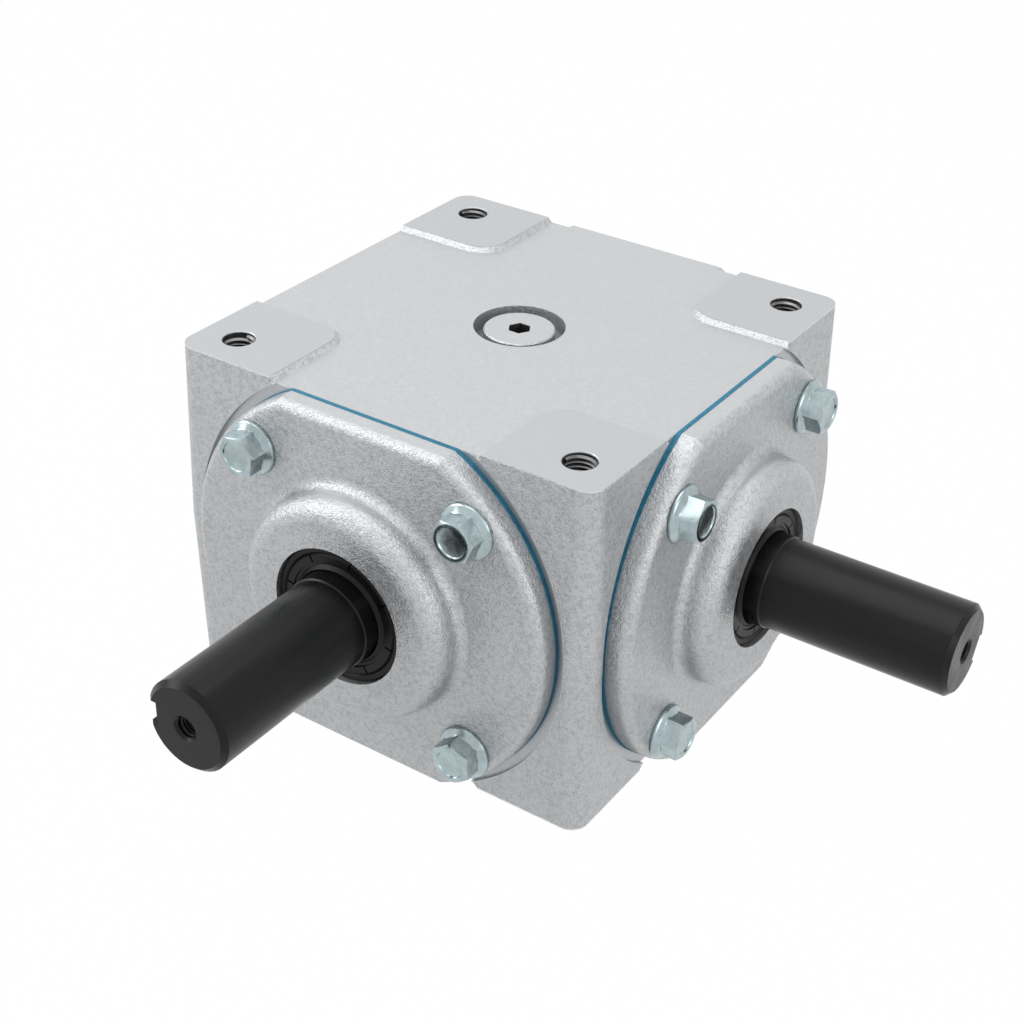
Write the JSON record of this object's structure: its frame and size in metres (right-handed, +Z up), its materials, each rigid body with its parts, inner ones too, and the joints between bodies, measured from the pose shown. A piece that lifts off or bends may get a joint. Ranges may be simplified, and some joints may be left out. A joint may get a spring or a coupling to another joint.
{
  "type": "right angle bevel gearbox",
  "caption": "Right angle bevel gearbox with a cast square housing, round flanged bearing covers and two keyed output shafts at 90 degrees, ratio 1 to 1.",
  "frame": {"origin": "middle of the four lower mounting pads, in their plane, straight below the crossing of the shaft axes", "axes": "+Z up, the side shaft points along +X, the front shaft points along -Y"},
  "size_m": [0.285, 0.286, 0.145],
  "materials": {
    "silver_paint": "semi-gloss silver paint",
    "gasket": "matte pressed fibre",
    "zinc_steel": "satin zinc plating",
    "seal_rubber": "matte",
    "bright_steel": "ground",
    "black_steel": "satin black oxide",
    "gear_steel": "case hardened",
    "cage_brass": "machined"
  },
  "bodies": {
    "case": {"housing": "silver_paint", "front_cover": "silver_paint", "side_cover": "silver_paint", "front_gasket": "gasket", "side_gasket": "gasket", "front_cover_bolts": "zinc_steel", "side_cover_bolts": "zinc_steel", "front_seal": "seal_rubber", "side_seal": "seal_rubber", "front_seal_spring": "bright_steel", "side_seal_spring": "bright_steel", "front_bore_circlip": "black_steel", "side_bore_circlip": "black_steel", "side_ring_spacer": "bright_steel", "filler_plug": "silver_paint", "filler_plug_washer": "gasket", "front_bearing_outer_ring": "bright_steel", "rear_bearing_outer_ring": "bright_steel", "side_outer_bearing_outer_ring": "bright_steel", "side_inner_bearing_outer_ring": "bright_steel"},
    "front_shaft_set": {"front_shaft": "black_steel", "front_bevel_gear": "gear_steel", "front_gear_key": "bright_steel", "front_spacer": "bright_steel", "front_bearing_inner_ring": "bright_steel", "rear_bearing_inner_ring": "bright_steel", "front_shaft_circlip": "black_steel", "rear_shaft_circlip": "black_steel"},
    "side_shaft_set": {"side_shaft": "black_steel", "side_bevel_gear": "gear_steel", "side_gear_key": "bright_steel", "side_spacer": "bright_steel", "side_outer_bearing_inner_ring": "bright_steel", "side_inner_bearing_inner_ring": "bright_steel", "side_shaft_circlip": "black_steel", "side_gear_circlip": "black_steel"},
    "front_bearing_cage_set": {"front_bearing_cage": "cage_brass", "front_bearing_balls": "bright_steel"},
    "rear_bearing_cage_set": {"rear_bearing_cage": "cage_brass", "rear_bearing_balls": "bright_steel"},
    "side_outer_bearing_cage_set": {"side_outer_bearing_cage": "cage_brass", "side_outer_bearing_balls": "bright_steel"},
    "side_inner_bearing_cage_set": {"side_inner_bearing_cage": "cage_brass", "side_inner_bearing_balls": "bright_steel"}
  },
  "joints": [
    {"name": "front_shaft_spin", "type": "hinge", "parent": "case", "child": "front_shaft_set", "pos_m": [0, 0, 0.0725], "axis": [0, 1, 0], "continuous": true},
    {"name": "side_shaft_spin", "type": "hinge", "parent": "case", "child": "side_shaft_set", "pos_m": [0, 0, 0.0725], "axis": [1, 0, 0], "continuous": true},
    {"name": "front_bearing_cage_spin", "type": "hinge", "parent": "case", "child": "front_bearing_cage_set", "pos_m": [0, 0, 0.0725], "axis": [0, 1, 0], "continuous": true},
    {"name": "rear_bearing_cage_spin", "type": "hinge", "parent": "case", "child": "rear_bearing_cage_set", "pos_m": [0, 0, 0.0725], "axis": [0, 1, 0], "continuous": true},
    {"name": "side_outer_bearing_cage_spin", "type": "hinge", "parent": "case", "child": "side_outer_bearing_cage_set", "pos_m": [0, 0, 0.0725], "axis": [1, 0, 0], "continuous": true},
    {"name": "side_inner_bearing_cage_spin", "type": "hinge", "parent": "case", "child": "side_inner_bearing_cage_set", "pos_m": [0, 0, 0.0725], "axis": [1, 0, 0], "continuous": true}
  ],
  "couplings": [
    {"joint": "side_shaft_spin", "follows": "front_shaft_spin", "ratio": 1},
    {"joint": "front_bearing_cage_spin", "follows": "front_shaft_spin", "ratio": 0.4},
    {"joint": "rear_bearing_cage_spin", "follows": "front_shaft_spin", "ratio": 0.3972},
    {"joint": "side_outer_bearing_cage_spin", "follows": "front_shaft_spin", "ratio": 0.4},
    {"joint": "side_inner_bearing_cage_spin", "follows": "front_shaft_spin", "ratio": 0.4}
  ]
}
